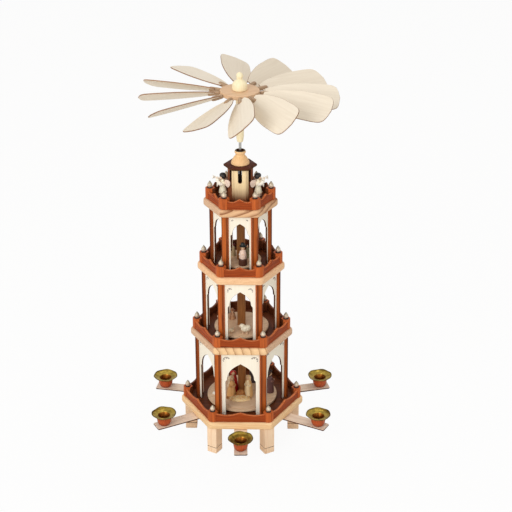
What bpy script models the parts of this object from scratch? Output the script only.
"""Three-tier candle carousel.

Hexagonal platforms stand on arcades of columns and arched panels. Candles on six swivel arms
warm the air, which turns a wheel of twelve pitched blades, and the wheel's pole carries three
discs of figures. Lengths are in metres, +Z is up, and the floor is at zero.
"""

import math
from collections import namedtuple

import bmesh
import bpy
from mathutils import Matrix, Vector

mm = 0.001

# Fits
seat_gap = 0.3 * mm  # between pieces that rest on each other
fit_gap = 0.3 * mm  # round a piece that sits in a bore
running_gap = 2 * mm  # round the pole and the rod where they pass a platform
overrun = 3 * mm  # how far a cutter passes its work
bite = 0.8 * mm  # how deep glued pieces reach into each other

# Platforms
base_flats = 170 * mm
second_flats = 140 * mm
third_flats = 118 * mm
top_flats = 99 * mm
platform_thickness = 12 * mm
platform_corner = 8 * mm
platform_edge = 3.5 * mm

# Legs
leg_height = 45.2 * mm
leg_width = 17 * mm
leg_depth = 18 * mm
leg_inset = 7 * mm  # from the base's corner to the leg's outer face
foot_height = 10 * mm
foot_groove_width = 0.8 * mm
foot_groove_depth = 0.7 * mm

# Arcades: columns with an arched panel between each two
first_column_height = 111.4 * mm
second_column_height = 101.9 * mm
third_column_height = 93.9 * mm
first_column_inset = 29.75 * mm  # from the platform's corner to the column's middle
second_column_inset = 24.83 * mm
third_column_inset = 25.63 * mm
column_width = 9.5 * mm
panel_thickness = 2.5 * mm
panel_tuck = 2.5 * mm  # from a column's middle to the end of the panel in it
first_jamb = 8.45 * mm  # of the panel beside its opening, with what is tucked into the column
second_jamb = 6.75 * mm
third_jamb = 5 * mm
arch_spring = 60 * mm
arch_cusp = 2.6 * mm
arch_cusp_height = 3.5 * mm
first_crown = 20 * mm  # wood left over the arch
second_crown = 15.5 * mm
third_crown = 14 * mm
arch_point_share = 0.14  # how much of the arch's rise is its point

# Railings: corner posts with finials, and scalloped rails
post_inset = 11.3 * mm  # from the platform's corner to the post's middle
post_radius = 8.2 * mm
post_height = 16.3 * mm
post_cut_share = 0.33  # of a face, lost where the outer corner is cut off
rail_thickness = 3.5 * mm
rail_recess = 1.2 * mm  # behind the post's face
rail_peak = 16 * mm
rail_dip = 4.7 * mm
finial_radius = 3.9 * mm
finial_height = 11.4 * mm
finial_shares = ((0, 0.8), (0.36, 1), (0.68, 0.64), (1, 0))

# Tower over the top platform
tower_flats = 33 * mm
tower_height = 51.7 * mm
tower_bore = 11 * mm
window_width = 5.8 * mm
window_depth = 22 * mm
roof_flats = 44 * mm
roof_thickness = 3.4 * mm
roof_chamfer = 1 * mm
cap_radius = 13.9 * mm
cap_height = 21 * mm
cap_shares = (
    (0, 0.97), (0.05, 1), (0.22, 0.91), (0.44, 0.73), (0.62, 0.52), (0.71, 0.49), (0.82, 0.59),
    (0.91, 0.6), (1, 0.54),
)
cap_recess_radius = 6.2 * mm
cap_recess_depth = 6 * mm
bush_radius = 4 * mm
bush_height = 8 * mm
bush_flange = 5.7 * mm
bush_flange_thickness = 1.4 * mm

# Shaft
pole_radius = 6.4 * mm
pole_lift = 1.5 * mm  # of the pole's shoulder over the base
pole_drop = 4.5 * mm  # from the top platform's underside to the pole's top
point_radius = 2 * mm
point_length = 3.2 * mm
bearing_radius = 5 * mm
bearing_height = 8 * mm
bearing_cone_radius = 3.2 * mm
bearing_cone_depth = 5 * mm
rod_radius = 2 * mm
rod_hold = 25 * mm  # of the rod in the pole
rod_bare = 13.5 * mm  # of the rod between cap and sleeve
rod_in_knob = 5 * mm

# Wheel
sleeve_radius = 5.8 * mm
sleeve_length = 73.2 * mm
sleeve_shares = ((0, 0.7), (0.02, 0.8), (0.1, 0.94), (0.2, 1), (1, 1))
hub_radius = 29.2 * mm
hub_thickness = 6.6 * mm
hub_edge = 1.2 * mm
knob_radius = 11.3 * mm
knob_height = 26.7 * mm
knob_shares = (
    (0, 0.94), (0.07, 1), (0.26, 0.98), (0.4, 0.86), (0.51, 0.6), (0.6, 0.37), (0.68, 0.41),
    (0.78, 0.46), (0.9, 0.36), (1, 0),
)
disc_lift = 2.5 * mm  # over the platform
disc_thickness = 3.2 * mm
disc_edge = 0.8 * mm
first_disc_gap = 2.5 * mm  # from the disc's edge to the panels
second_disc_gap = 4.75 * mm
third_disc_gap = 4.55 * mm

# Blades: a veneer paddle in a turned peg
blade_reach = 147.5 * mm
blade_root = 37 * mm
blade_half_width = 24.2 * mm
blade_thickness = 1.6 * mm
blade_shares = (
    (0, 0.36), (0.16, 0.66), (0.34, 0.86), (0.52, 0.98), (0.7, 1), (0.84, 0.99), (0.93, 0.91),
    (0.975, 0.6),
)
peg_end = 46.5 * mm
peg_radius = 3.6 * mm
peg_collar_share = 0.82  # the peg is thinner at the hub
tenon_radius = 1.7 * mm
tenon_length = 9 * mm

# Each blade as it was pushed into the hub by hand: azimuth, droop and pitch in degrees
blade_settings = (
    (5, 5, 30), (33, 2, 24), (63, 1, 31), (95, -2, 23), (131, -1, 12), (164, 0, 30),
    (185, 2, 30), (213, 3, 30), (246, 4, 20), (273, 2, 41), (301, 1, 43), (333, 2, 34),
)

# Candle arms: a strip on one screw, a wooden cup and a brass pan
arm_inset = 9 * mm  # from the base's edge to the screw
arm_reach = 62 * mm  # from the screw to the candle
arm_overhang = 14.5 * mm  # past the candle
arm_width = 20.5 * mm
arm_thickness = 2.5 * mm
arm_corner = 2 * mm
screw_radius = 1.6 * mm
screw_length = 7 * mm
screw_head_radius = 3.4 * mm
screw_head_height = 1.6 * mm
cup_radius = 11.6 * mm
cup_height = 15 * mm
cup_shares = ((0, 0.66), (0.14, 0.79), (0.55, 0.96), (1, 1))
socket_radius = 5.9 * mm
socket_depth = 10 * mm
pan_thickness = 0.9 * mm
pan_radius = 19 * mm
pan_rise = 4 * mm
pan_shares = ((0.2, 0.12), (0.68, 0.42), (1, 1))

# How far each arm is swung from its edge's normal, in degrees, by the edge's azimuth
arm_swings = {30: -15, 90: 0, 150: 20, 210: -1, 270: 2, 330: 3}

# Figures
robe_shares = ((0, 1), (0.3, 0.84), (0.6, 0.64), (0.72, 0.34), (0.8, 0.52), (0.92, 0.46), (1, 0))
hat_shares = (
    (0, 1), (0.35, 0.82), (0.64, 0.6), (0.7, 0.36), (0.79, 0.52), (0.82, 0.82), (0.87, 0.8),
    (0.89, 0.48), (1, 0),
)
angel_shares = (
    (0, 0.5), (0.1, 0.74), (0.27, 1), (0.46, 0.74), (0.6, 0.9), (0.71, 0.42), (0.77, 0.58),
    (0.87, 0.8), (0.95, 0.62), (1, 0),
)
angel_height = 40 * mm
angel_radius = 5.6 * mm
angel_circle = 26.5 * mm
wing_length = 13 * mm
wing_width = 15 * mm
wing_thickness = 1.4 * mm
wing_reach = 10.2 * mm  # from the angel's axis to the wing's middle
wing_rise_share = 0.64  # of the angel's height, to the wing's middle
wing_splay = 45  # to each side of straight back
wing_lean = -80
horn_length = 15 * mm
horn_bell = 2.8 * mm
horn_mouth = 0.9 * mm
horn_rise_share = 0.79
horn_tilt = 12
horn_turn = 12  # towards the carousel's front
king_height = 39 * mm
king_radius = 7.2 * mm
king_place_shares = ((0.8, 5), (0.72, 65), (0.258, 166))
saint_heights = (36.5 * mm, 39.5 * mm)  # left and right
saint_radii = (7.4 * mm, 6.4 * mm)
saint_side_shares = (-0.79, 0.5)  # of the ground's radius, from its middle
saint_back_share = 0.81  # and towards the pole
heap_shares = ((0, 1), (0.45, 0.94), (0.8, 0.7), (1, 0.3))
heap_length = 42 * mm
heap_width = 18 * mm
heap_height = 6 * mm
heap_back_share = 0.26  # of the ground's radius, towards the pole
heap_side_share = -0.14
ground_width_share = 1.25  # of its depth
ground_thickness = 1 * mm
ground_margin = 6 * mm  # from the disc's edge
ground_clearance = 1.1 * mm  # from the pole
shepherd_height = 16 * mm
shepherd_radius = 4.6 * mm
shepherd_place_shares = (0.54, 130)
flock_place_shares = ((0.82, 165), (0.7, 20), (0.72, 92))
lamb_length = 10 * mm
lamb_girth = 6.6 * mm
lamb_head = 4.4 * mm
lamb_place_shares = (((0.78, 191),), ((0.7, 239),), ())  # on each disc
sheep_length = 15 * mm
sheep_girth = 8.4 * mm
sheep_head = 6 * mm
sheep_leg = 5.6 * mm
sheep_place_shares = (0.74, 282)
caroler_height = 36.5 * mm
caroler_radius = 5.6 * mm
caroler_place_shares = (0.74, 279)
choir_height = 22 * mm
choir_radius = 3.6 * mm
choir_place_shares = ((0.48, 141), (0.35, 26), (0.66, 92), (0.72, 215), (0.74, 0))

# Counts
disc_sides = 24
round_sides = 16
small_sides = 12
bead_sides = 8
peg_sides = 6
corner_steps = 2
edge_steps = 2
arch_steps = 5
scallop_steps = 3
round_digits = 12

corners = 6
quarter = math.radians(90)
half_corner = math.radians(30)
flat_angle = math.radians(0.01)

Tier = namedtuple("Tier", "flats column_height column_circle opening crown disc_radius")


def circumradius(flats):
    return flats / 2 / math.cos(half_corner)


def tier_sizes(flats, column_height, column_inset, jamb, crown, disc_gap):
    """A tier's columns stand inside its platform, and its panels and disc follow the columns."""
    column_circle = circumradius(flats) - column_inset
    opening = column_circle - 2 * (panel_tuck + jamb)
    disc_radius = column_circle * math.cos(half_corner) - panel_thickness / 2 - disc_gap
    return Tier(flats, column_height, column_circle, opening, crown, disc_radius)


tiers = (
    tier_sizes(base_flats, first_column_height, first_column_inset, first_jamb, first_crown, first_disc_gap),
    tier_sizes(second_flats, second_column_height, second_column_inset, second_jamb, second_crown, second_disc_gap),
    tier_sizes(third_flats, third_column_height, third_column_inset, third_jamb, third_crown, third_disc_gap),
)
platform_flats = [tier.flats for tier in tiers] + [top_flats]
platform_tops = [leg_height + seat_gap + platform_thickness]
for tier in tiers:
    platform_tops.append(platform_tops[-1] + 2 * seat_gap + tier.column_height + platform_thickness)

base_bottom = platform_tops[0] - platform_thickness
roof_bottom = platform_tops[3] + 2 * seat_gap + tower_height
cap_bottom = roof_bottom + roof_thickness + seat_gap
cap_top = cap_bottom + cap_height
sleeve_bottom = cap_top + rod_bare
hub_bottom = sleeve_bottom + sleeve_length + seat_gap
blade_axis = hub_bottom + hub_thickness / 2
knob_bottom = hub_bottom + hub_thickness + seat_gap
pole_top = platform_tops[3] - platform_thickness - pole_drop
rod_bore = rod_radius + fit_gap
arm_top = base_bottom - seat_gap
arm_circle = base_flats / 2 - arm_inset
pan_seat = cup_height + seat_gap
socket_outer = socket_radius + pan_thickness
cup_bore = socket_outer + fit_gap
ground_radius = (tiers[0].disc_radius - ground_margin - pole_radius - ground_clearance) / 2
ground_depth = pole_radius + ground_clearance + ground_radius


def clear_scene():
    for old in list(bpy.data.objects):
        bpy.data.objects.remove(old, do_unlink=True)


def finish(name, colour, roughness, metallic=0.0):
    """A Principled material, made once and then reused."""
    made = bpy.data.materials.get(name)
    if made:
        return made
    made = bpy.data.materials.new(name)
    made.use_nodes = True
    shader = made.node_tree.nodes["Principled BSDF"]
    shader.inputs["Base Color"].default_value = (*colour, 1)
    shader.inputs["Roughness"].default_value = roughness
    shader.inputs["Metallic"].default_value = metallic
    return made


def pine():
    return finish("light_pine", (0.82, 0.62, 0.42), 0.5)


def stained():
    return finish("stained_wood", (0.50, 0.17, 0.06), 0.4)


def walnut():
    return finish("dark_wood", (0.16, 0.07, 0.04), 0.4)


def plywood():
    return finish("cream_plywood", (0.90, 0.82, 0.68), 0.5)


def beech():
    return finish("pale_beech", (0.88, 0.76, 0.55), 0.45)


def hub_wood():
    return finish("tan_wood", (0.66, 0.46, 0.30), 0.5)


def veneer():
    return finish("blade_veneer", (0.86, 0.78, 0.66), 0.5)


def steel():
    return finish("steel", (0.6, 0.6, 0.62), 0.25, 1)


def brass():
    return finish("brass", (0.72, 0.55, 0.18), 0.25, 1)


def painted():
    return finish("figure_paint", (0.86, 0.78, 0.62), 0.5)


def circle(radius, height, sides):
    """A ring of points round the Z axis, or one point where the radius is zero."""
    if radius == 0:
        return [Vector((0, 0, height))]
    points = []
    for step in range(sides):
        turn = 2 * math.pi * step / sides
        # Rounded, so that a point on an axis lies on it exactly, as the Booleans need
        x, y = round(math.cos(turn), round_digits), round(math.sin(turn), round_digits)
        points.append(Vector((radius * x, radius * y, height)))
    return points


def hexagon(flats, height, corner=0.0):
    """A hexagon with a corner towards +X, its corners rounded by arcs where corner isn't zero."""
    if corner == 0:
        return circle(circumradius(flats), height, corners)
    reach = (flats / 2 - corner) / math.cos(half_corner)
    points = []
    for index in range(corners):
        facing = 2 * half_corner * index
        middle = Vector((reach * math.cos(facing), reach * math.sin(facing), height))
        for step in range(corner_steps + 1):
            turn = facing + half_corner * (2 * step / corner_steps - 1)
            points.append(middle + corner * Vector((math.cos(turn), math.sin(turn), 0)))
    return points


def skin(name, rings, material, closed=False, smooth=False):
    """A solid through a row of rings, capped at its ends or, when closed, joined end to start."""
    shape = bmesh.new()
    rows = [[shape.verts.new(point) for point in ring] for ring in rings]
    pairs = list(zip(rows, rows[1:]))
    if closed:
        pairs.append((rows[-1], rows[0]))
    for lower, upper in pairs:
        count = max(len(lower), len(upper))
        for index in range(count):
            after = (index + 1) % count
            face = [lower[index % len(lower)], lower[after % len(lower)]]
            face += [upper[after % len(upper)], upper[index % len(upper)]]
            shape.faces.new(list(dict.fromkeys(face)))
    if not closed:
        for row in (rows[0], rows[-1]):
            if len(row) > 2:
                shape.faces.new(row)
    bmesh.ops.recalc_face_normals(shape, faces=shape.faces)
    mesh = bpy.data.meshes.new(name)
    shape.to_mesh(mesh)
    shape.free()
    mesh.materials.append(material)
    if smooth:
        mesh.shade_smooth()
        mesh.set_sharp_from_angle(angle=half_corner)
    made = bpy.data.objects.new(name, mesh)
    bpy.context.scene.collection.objects.link(made)
    return made


def turned(name, profile, material, sides=round_sides, closed=False):
    """A lathe piece: the profile is a row of (radius, height) points."""
    rings = [circle(radius, height, sides) for radius, height in profile]
    return skin(name, rings, material, closed, smooth=True)


def shaped(shares, radius, height, start=0.0):
    """Profile points from (height share, radius share) pairs."""
    return [(radius * wide, start + height * high) for high, wide in shares]


def prism(name, outline, low, high, material):
    """An outline in X and Y carried from one height to another."""
    rings = [[Vector((x, y, height)) for x, y in outline] for height in (low, high)]
    return skin(name, rings, material)


def merge_flat_faces():
    """Joins the faces that the Booleans have split without need."""
    for mesh in {made.data for made in bpy.data.objects}:
        shape = bmesh.new()
        shape.from_mesh(mesh)
        bmesh.ops.dissolve_limit(shape, angle_limit=flat_angle, verts=shape.verts, edges=shape.edges)
        shape.to_mesh(mesh)
        shape.free()


def combine(target, others, operation):
    """Joins or cuts the target with helpers, and removes them."""
    for other in others:
        other.hide_render = True
        other.display_type = "WIRE"
        step = target.modifiers.new(other.name, "BOOLEAN")
        step.operation = operation
        step.solver = "EXACT"
        step.material_mode = "TRANSFER"
        step.object = other
    graph = bpy.context.evaluated_depsgraph_get()
    mesh = bpy.data.meshes.new_from_object(target.evaluated_get(graph))
    target.modifiers.clear()
    target.data = mesh
    for other in others:
        bpy.data.objects.remove(other, do_unlink=True)
    return target


def fuse(target, others):
    return combine(target, others, "UNION")


def cut(target, others):
    return combine(target, others, "DIFFERENCE")


def place(piece, matrix):
    """Moves a helper for good, so that its mesh lies where it belongs."""
    piece.data.transform(matrix)
    return piece


def turn_z(degrees):
    return Matrix.Rotation(math.radians(degrees), 4, "Z")


def turn_x(degrees):
    return Matrix.Rotation(math.radians(degrees), 4, "X")


def turn_y(degrees):
    return Matrix.Rotation(math.radians(degrees), 4, "Y")


def move(x, y, z):
    return Matrix.Translation((x, y, z))


def copy_of(piece, name, matrix):
    """Another object on the same mesh."""
    made = bpy.data.objects.new(name, piece.data)
    made.matrix_world = matrix
    bpy.context.scene.collection.objects.link(made)
    return made


def helper_copy(piece, matrix):
    """A separate helper with its own mesh, moved for good."""
    made = bpy.data.objects.new(piece.name, piece.data.copy())
    bpy.context.scene.collection.objects.link(made)
    return place(made, matrix)


def ring_of(sector):
    """Fuses a sector with its copies at the other five corners."""
    others = [helper_copy(sector, turn_z(360 * index / corners)) for index in range(1, corners)]
    return fuse(sector, others)


def bar(name, radius, low, high, material, sides=small_sides):
    """A plain round bar along Z."""
    return turned(name, [(0, low), (radius, low), (radius, high), (0, high)], material, sides)


def platform(name, flats, top, holes):
    """A slab with round corners and edges, cut by the given bars."""
    bottom = top - platform_thickness
    arcs = [quarter * step / edge_steps for step in range(edge_steps + 1)]
    rings = []
    for arc in arcs:
        inset = platform_edge * (1 - math.sin(arc))
        height = bottom + platform_edge * (1 - math.cos(arc))
        rings.append(hexagon(flats - 2 * inset, height, platform_corner - inset))
    for arc in reversed(arcs):
        inset = platform_edge * (1 - math.sin(arc))
        height = top - platform_edge * (1 - math.cos(arc))
        rings.append(hexagon(flats - 2 * inset, height, platform_corner - inset))
    slab = skin(name, rings, pine())
    return cut(slab, holes)


def base_platform():
    """The base takes the bearing from above and the arm screws from below."""
    top = platform_tops[0]
    seat = top - bearing_height - seat_gap
    holes = [bar("bearing_bore", bearing_radius + fit_gap, seat, top + overrun, pine(), round_sides)]
    for azimuth in arm_swings:
        hole = bar("screw_bore", screw_radius + fit_gap, base_bottom - overrun,
                   arm_top + screw_length + seat_gap, pine(), peg_sides)
        holes.append(place(hole, turn_z(azimuth) @ move(arm_circle, 0, 0)))
    platform("base_platform", base_flats, top, holes)


def upper_platforms():
    names = ("second_platform", "third_platform", "top_platform")
    bores = (pole_radius, pole_radius, rod_radius)
    for name, flats, top, bore in zip(names, platform_flats[1:], platform_tops[1:], bores):
        low = top - platform_thickness - overrun
        hole = bar("shaft_bore", bore + running_gap, low, top + overrun, pine(), round_sides)
        platform(name, flats, top, [hole])


def legs():
    """Six square legs, each with a fine groove round its foot."""
    def square(inset, height):
        deep, wide = leg_depth / 2 - inset, leg_width / 2 - inset
        return [Vector((x, y, height)) for x, y in ((-deep, -wide), (deep, -wide), (deep, wide), (-deep, wide))]

    over = foot_height + foot_groove_width
    levels = ((0, 0), (0, foot_height), (foot_groove_depth, foot_height), (foot_groove_depth, over),
              (0, over), (0, leg_height))
    first = skin("leg_1", [square(inset, height) for inset, height in levels], pine())
    reach = circumradius(base_flats) - leg_inset - leg_depth / 2
    first.matrix_world = move(reach, 0, 0)
    for index in range(1, corners):
        copy_of(first, f"leg_{index + 1}", turn_z(360 * index / corners) @ move(reach, 0, 0))


def arch_outline(half_width, height, opening, crown):
    """An arched panel seen from the front: straight jambs, a cusp, and a round arch with a point."""
    half = opening / 2
    start = arch_spring + arch_cusp_height
    rise = height - crown - start
    side = [(half, 0), (half, arch_spring), (half - arch_cusp, start)]
    for step in range(1, arch_steps + 1):
        share = step / arch_steps
        lift = (1 - arch_point_share) * math.sin(quarter * share) + arch_point_share * share ** 6
        side.append(((half - arch_cusp) * math.cos(quarter * share), start + rise * lift))
    side[-1] = (0, start + rise)
    left = [(-x, y) for x, y in side[:-1]]
    outer = [(-half_width, 0), (-half_width, height), (half_width, height), (half_width, 0)]
    return outer + side + left[::-1]


def arcades():
    """Six columns and six arched panels for each tier, glued into one ring."""
    for index, tier in enumerate(tiers):
        half = column_width / 2
        square = [(-half, -half), (half, -half), (half, half), (-half, half)]
        column = prism(f"arcade_{index + 1}", square, 0, tier.column_height, stained())
        place(column, move(tier.column_circle, 0, 0))
        reach = tier.column_circle * math.cos(half_corner)
        outline = arch_outline(tier.column_circle / 2 - panel_tuck, tier.column_height, tier.opening, tier.crown)
        panel = prism("panel", outline, -panel_thickness / 2, panel_thickness / 2, plywood())
        place(panel, turn_z(30) @ move(reach, 0, 0) @ turn_z(90) @ turn_x(90))
        ring = ring_of(fuse(column, [panel]))
        place(ring, move(0, 0, platform_tops[index] + seat_gap))


def rail_outline(length):
    """A rail seen from the front: its top dips twice and comes to a point in the middle."""
    half = length / 2
    points = [(half, 0)]
    for step in range(2 * scallop_steps + 1):
        share = 1 - step / scallop_steps
        points.append((half * share, rail_peak - rail_dip * math.sin(math.pi * abs(share))))
    return points + [(-half, 0)]


def railings():
    """A ring of posts, finials and rails on every platform."""
    for index, (flats, top) in enumerate(zip(platform_flats, platform_tops)):
        reach = circumradius(flats) - post_inset
        points = [Vector(point[:2]) for point in circle(post_radius, 0, corners)]
        nose = [points[0].lerp(points[-1], post_cut_share), points[0].lerp(points[1], post_cut_share)]
        post = prism(f"railing_{index + 1}", nose + points[1:], 0, post_height, stained())
        profile = shaped(finial_shares, finial_radius, finial_height + bite, post_height - bite)
        finial = turned("finial", profile, brass(), peg_sides)
        rail = prism("rail", rail_outline(reach), -rail_thickness / 2, rail_thickness / 2, stained())
        face = reach * math.cos(half_corner) + post_radius * math.cos(half_corner)
        place(rail, turn_z(30) @ move(face - rail_recess - rail_thickness / 2, 0, 0) @ turn_z(90) @ turn_x(90))
        fuse(post, [finial])
        place(post, move(reach, 0, 0))
        ring = ring_of(fuse(post, [rail]))
        place(ring, move(0, 0, top + seat_gap))


def tower():
    """A hollow hexagonal tower with a slit window in each wall, its roof plate and turned cap."""
    low = platform_tops[3] + seat_gap
    high = low + tower_height
    body = skin("tower_body", [hexagon(tower_flats, low), hexagon(tower_flats, high)], beech())
    cutters = [bar("tower_bore", tower_bore, low - overrun, high + overrun, beech(), round_sides)]
    half, sill = window_width / 2, high - window_depth
    slit = [(-half, high + overrun), (-half, sill + half), (-half / 2, sill), (half / 2, sill),
            (half, sill + half), (half, high + overrun)]
    for index in range(corners):
        window = prism("window", slit, tower_bore / 2, tower_flats, beech())
        cutters.append(place(window, turn_z(30 + 60 * index) @ turn_z(90) @ turn_x(90)))
    cut(body, cutters)

    top = roof_bottom + roof_thickness
    rings = [hexagon(roof_flats, roof_bottom), hexagon(roof_flats, top - roof_chamfer),
             hexagon(roof_flats - 4 * roof_chamfer, top)]
    roof = skin("tower_roof", rings, walnut())
    cut(roof, [bar("roof_bore", rod_radius + running_gap, roof_bottom - overrun, top + overrun, walnut())])

    floor = cap_height - cap_recess_depth
    inside = [(cap_recess_radius, cap_height), (cap_recess_radius, floor), (bush_radius + fit_gap, floor),
              (bush_radius + fit_gap, 0)]
    cap = turned("tower_cap", shaped(cap_shares, cap_radius, cap_height) + inside, beech(), small_sides, True)
    place(cap, move(0, 0, cap_bottom))


def bearings():
    """The cup that the shaft's point stands in, and the bush that steadies the rod."""
    top = platform_tops[0]
    bottom = top - bearing_height
    profile = [(0, bottom), (bearing_radius, bottom), (bearing_radius, top), (bearing_cone_radius, top),
               (0, top - bearing_cone_depth)]
    turned("foot_bearing", profile, steel(), small_sides)

    seat = cap_bottom + cap_height - cap_recess_depth + seat_gap
    low = seat + bush_flange_thickness - bush_height
    profile = [(bush_radius, low), (bush_radius, seat), (bush_flange, seat),
               (bush_flange, seat + bush_flange_thickness), (rod_bore, seat + bush_flange_thickness),
               (rod_bore, low)]
    turned("rod_bush", profile, brass(), small_sides, closed=True)


def shaft():
    """A wooden pole with a point below, and the steel rod that it holds above."""
    shoulder = platform_tops[0] + pole_lift
    tip = platform_tops[0] - bearing_cone_depth + seat_gap
    profile = [(0, tip), (point_radius, tip + point_length), (point_radius, shoulder), (pole_radius, shoulder),
               (pole_radius, pole_top), (rod_bore, pole_top), (rod_bore, pole_top - rod_hold),
               (0, pole_top - rod_hold)]
    turned("pole", profile, hub_wood(), round_sides)
    bar("rod", rod_radius, pole_top - rod_hold + seat_gap, knob_bottom + rod_in_knob - seat_gap, steel())


def blade_matrix(azimuth, droop, pitch):
    return move(0, 0, blade_axis) @ turn_z(azimuth) @ turn_y(droop) @ turn_x(pitch)


def wheel():
    """Sleeve, hub with a hole for each blade, and knob."""
    inside = [(rod_bore, sleeve_length), (rod_bore, 0)]
    sleeve = turned("wheel_sleeve", shaped(sleeve_shares, sleeve_radius, sleeve_length) + inside, beech(),
                    small_sides, closed=True)
    place(sleeve, move(0, 0, sleeve_bottom))

    profile = [(rod_bore, 0), (hub_radius - hub_edge, 0), (hub_radius, hub_edge),
               (hub_radius, hub_thickness - hub_edge), (hub_radius - hub_edge, hub_thickness),
               (rod_bore, hub_thickness)]
    hub = turned("wheel_hub", profile, hub_wood(), disc_sides, closed=True)
    place(hub, move(0, 0, hub_bottom))
    holes = []
    for setting in blade_settings:
        hole = bar("peg_hole", tenon_radius + fit_gap, hub_radius - tenon_length - fit_gap,
                   hub_radius + overrun, hub_wood(), peg_sides)
        holes.append(place(hole, blade_matrix(*setting) @ turn_y(90)))
    cut(hub, holes)

    inside = [(0, rod_in_knob), (rod_bore, rod_in_knob), (rod_bore, 0)]
    knob = turned("wheel_knob", inside + shaped(knob_shares, knob_radius, knob_height), beech(), small_sides)
    place(knob, move(0, 0, knob_bottom))


def blade_outline():
    """One side of the petal from root to tip, then the other side back."""
    length = blade_reach - blade_root
    side = [(blade_root + length * along, blade_half_width * wide) for along, wide in blade_shares]
    return side + [(blade_reach, 0)] + [(x, -y) for x, y in reversed(side)]


def blades():
    """Twelve paddles. Each object's X axis is its peg, which turns in the hub."""
    collar = peg_radius * peg_collar_share
    first = hub_radius + seat_gap
    profile = [(0, hub_radius - tenon_length), (tenon_radius, hub_radius - tenon_length),
               (tenon_radius, first), (collar, first), (peg_radius, peg_end - peg_radius),
               (collar, peg_end), (0, peg_end)]
    peg = turned("blade_1", profile, hub_wood(), peg_sides)
    place(peg, turn_y(90))
    paddle = prism("paddle", blade_outline(), -blade_thickness / 2, blade_thickness / 2, veneer())
    fuse(peg, [paddle])
    peg.matrix_world = blade_matrix(*blade_settings[0])
    for index, setting in enumerate(blade_settings[1:], 2):
        copy_of(peg, f"blade_{index}", blade_matrix(*setting))


def strip_outline():
    """The arm from above: a round end at the screw, and a square one with small round corners."""
    half, end = arm_width / 2, arm_reach + arm_overhang
    points = []
    for step in range(bead_sides + 1):
        turn = quarter * (1 + 2 * step / bead_sides)
        points.append((half * math.cos(turn), half * math.sin(turn)))
    for side, start in ((-1, -1), (1, 0)):
        for step in range(edge_steps + 1):
            turn = quarter * (start + step / edge_steps)
            points.append((end - arm_corner + arm_corner * math.cos(turn),
                           side * (half - arm_corner) + arm_corner * math.sin(turn)))
    return points


def arm_solid():
    """Strip, screw and cup. The origin is on the screw's axis, at the strip's top."""
    arm = prism("arm_1", strip_outline(), -arm_thickness, 0, pine())
    profile = [(0, -arm_thickness - screw_head_height), (screw_head_radius, -arm_thickness - screw_head_height),
               (screw_head_radius, -arm_thickness + bite), (screw_radius, -arm_thickness + bite),
               (screw_radius, screw_length), (0, screw_length)]
    screw = turned("screw", profile, steel(), peg_sides)
    floor = pan_seat - socket_depth - pan_thickness - seat_gap
    outside = [(0, -bite), (cup_radius * cup_shares[0][1], -bite)]
    outside += shaped(cup_shares, cup_radius, cup_height)
    inside = [(cup_bore, cup_height), (cup_bore, floor), (0, floor)]
    cup = turned("cup", outside + inside, stained())
    place(cup, move(arm_reach, 0, 0))
    return fuse(arm, [screw, cup])


def pan_solid():
    """A dish of sheet brass with a candle socket pressed in its middle."""
    flange = pan_radius - socket_outer
    under = [(socket_outer + flange * along, pan_seat + pan_rise * high) for along, high in pan_shares]
    over = [(x, y + pan_thickness) for x, y in reversed(under)]
    floor = pan_seat - socket_depth
    profile = [(0, floor - pan_thickness), (socket_outer, floor - pan_thickness), (socket_outer, pan_seat)]
    profile += under + over + [(socket_radius, pan_seat), (socket_radius, floor), (0, floor)]
    pan = turned("pan_1", profile, brass())
    return place(pan, move(arm_reach, 0, 0))


def arms():
    first_arm, first_pan = arm_solid(), pan_solid()
    for index, (azimuth, swing) in enumerate(arm_swings.items(), 1):
        matrix = turn_z(azimuth) @ move(arm_circle, 0, arm_top) @ turn_z(swing)
        if index == 1:
            first_arm.matrix_world = matrix
            first_pan.matrix_world = matrix
        else:
            copy_of(first_arm, f"arm_{index}", matrix)
            copy_of(first_pan, f"pan_{index}", matrix)


def figure(name, shares, radius, height, sides=small_sides):
    """A turned figure that stands at the origin."""
    return turned(name, [(0, 0)] + shaped(shares, radius, height), painted(), sides)


def on_disc(radius, setting):
    """Where a figure stands: a share of the disc's radius, and an azimuth."""
    share, azimuth = setting
    return turn_z(azimuth) @ move(radius * share, 0, 0)


def egg(name, length, girth, height):
    """An egg that lies along X."""
    rows = []
    for step in range(bead_sides // 2 + 1):
        turn = math.pi * step / (bead_sides // 2)
        wide = girth / 2 * math.sin(turn) if 0 < step < bead_sides // 2 else 0
        rows.append((wide, -length / 2 * math.cos(turn)))
    made = turned(name, rows, painted(), bead_sides)
    return place(made, move(0, 0, height) @ turn_y(90))


def lamb(radius, setting):
    """A lamb that lies along X on its disc."""
    body = egg("lamb", lamb_length, lamb_girth, lamb_girth * 0.42)
    head = egg("head", lamb_head, lamb_head * 0.8, lamb_girth * 0.8)
    fuse(body, [place(head, move(lamb_length * 0.36, 0, 0))])
    return place(body, on_disc(radius, setting) @ turn_z(-setting[1]) @ move(0, 0, disc_thickness))


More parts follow.
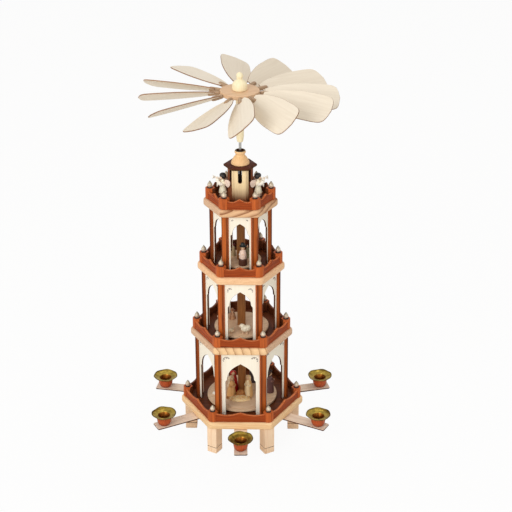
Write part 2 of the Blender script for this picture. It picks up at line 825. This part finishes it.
def discs():
    """Three discs on the pole, with the lesser figures glued to them."""
    groups = (
        (robe_shares, king_radius, king_height, king_place_shares),
        (robe_shares, shepherd_radius, shepherd_height, flock_place_shares),
        (robe_shares, choir_radius, choir_height, choir_place_shares),
    )
    for index, (tier, (shares, width, height, places)) in enumerate(zip(tiers, groups)):
        radius, bore = tier.disc_radius, pole_radius + fit_gap
        profile = [(bore, 0), (radius, 0), (radius, disc_thickness - disc_edge),
                   (radius - disc_edge, disc_thickness), (bore, disc_thickness)]
        disc = turned(f"disc_{index + 1}", profile, pine(), disc_sides, closed=True)
        crowd = []
        for setting in places:
            one = figure("figure", shares, width, height + bite, peg_sides)
            crowd.append(place(one, on_disc(radius, setting) @ move(0, 0, disc_thickness - bite)))
        crowd += [lamb(radius, setting) for setting in lamb_place_shares[index]]
        fuse(disc, crowd)
        place(disc, move(0, 0, platform_tops[index] + disc_lift))


def disc_top(index):
    return platform_tops[index] + disc_lift + disc_thickness + seat_gap


def nativity():
    """Two robed figures and a heap of straw on a round patch of ground."""
    ground = bar("nativity_group", ground_radius, 0, ground_thickness, painted(), round_sides)
    place(ground, move(0, -ground_depth, 0) @ Matrix.Diagonal((ground_width_share, 1, 1, 1)))
    low = ground_thickness - bite / 2
    pieces = []
    for side, radius, height in zip(saint_side_shares, saint_radii, saint_heights):
        saint = figure("saint", robe_shares, radius, height)
        behind = ground_depth - ground_radius * saint_back_share
        pieces.append(place(saint, move(side * ground_radius, -behind, low)))
    heap = turned("heap", [(0, 0)] + shaped(heap_shares, heap_length / 2, heap_height) + [(0, heap_height)], painted())
    place(heap, Matrix.Diagonal((1, heap_width / heap_length, 1, 1)))
    pieces.append(place(heap, move(ground_radius * heap_side_share, ground_radius * heap_back_share - ground_depth, low)))
    fuse(ground, pieces)
    place(ground, move(0, 0, disc_top(0)))


def sheep():
    """A standing sheep: round body, head, and two blocks of legs."""
    body_height = sheep_leg + sheep_girth / 2 - bite
    body = egg("sheep", sheep_length * 0.8, sheep_girth, body_height)
    head = egg("head", sheep_head, sheep_head * 0.72, body_height + sheep_girth / 2)
    place(head, move(-sheep_length * 0.42, 0, 0))
    pieces = [head]
    for end in (-1, 1):
        block = bar("leg", sheep_girth / 4, 0, sheep_leg + bite, painted(), corners)
        pieces.append(place(block, move(end * sheep_length * 0.2, 0, 0)))
    fuse(body, pieces)
    share, azimuth = sheep_place_shares
    reach = tiers[1].disc_radius * share
    spot = Vector((reach * math.cos(math.radians(azimuth)), reach * math.sin(math.radians(azimuth)), disc_top(1)))
    place(body, move(*spot))


def standing_figures():
    shepherd = figure("shepherd", hat_shares, shepherd_radius, shepherd_height)
    place(shepherd, move(0, 0, disc_top(1)) @ on_disc(tiers[1].disc_radius, shepherd_place_shares))
    caroler = figure("caroler", hat_shares, caroler_radius, caroler_height)
    place(caroler, move(0, 0, disc_top(2)) @ on_disc(tiers[2].disc_radius, caroler_place_shares))


def wing_outline():
    """A leaf-shaped wing: full at the shoulder and narrow at its end."""
    points = []
    for step in range(small_sides):
        turn = 2 * math.pi * step / small_sides
        narrow = 1 - 0.3 * math.cos(turn)
        points.append((wing_length / 2 * math.cos(turn), wing_width / 2 * narrow * math.sin(turn)))
    return points


def angels():
    """Two trumpeting angels beside the tower, each facing out with wings spread behind."""
    for name, azimuth, front in (("angel_right", 0, -1), ("angel_left", 180, 1)):
        angel = figure(name, angel_shares, angel_radius, angel_height)
        wing = prism("wing", wing_outline(), -wing_thickness / 2, wing_thickness / 2, painted())
        wings = []
        for side in (-1, 1):
            shoulder = move(0, 0, angel_height * wing_rise_share) @ turn_z(180 - side * wing_splay)
            wings.append(helper_copy(wing, shoulder @ move(wing_reach, 0, 0) @ turn_x(90) @ turn_z(wing_lean)))
        bpy.data.objects.remove(wing, do_unlink=True)
        profile = [(0, 0), (horn_mouth, 0), (horn_mouth, horn_length * 0.7), (horn_bell, horn_length), (0, horn_length)]
        horn = turned("horn", profile, painted(), bead_sides)
        place(horn, move(0, 0, angel_height * horn_rise_share) @ turn_z(front * horn_turn) @ turn_y(90 - horn_tilt))
        fuse(angel, wings + [horn])
        place(angel, turn_z(azimuth) @ move(angel_circle, 0, platform_tops[3] + seat_gap))


def main():
    clear_scene()
    base_platform()
    upper_platforms()
    legs()
    arcades()
    railings()
    tower()
    bearings()
    shaft()
    wheel()
    blades()
    arms()
    discs()
    nativity()
    sheep()
    standing_figures()
    angels()
    merge_flat_faces()
    top = knob_bottom + knob_height
    print(f"candle carousel, {top / mm:.1f} mm tall, {2 * blade_reach / mm:.0f} mm across the wheel")


main()
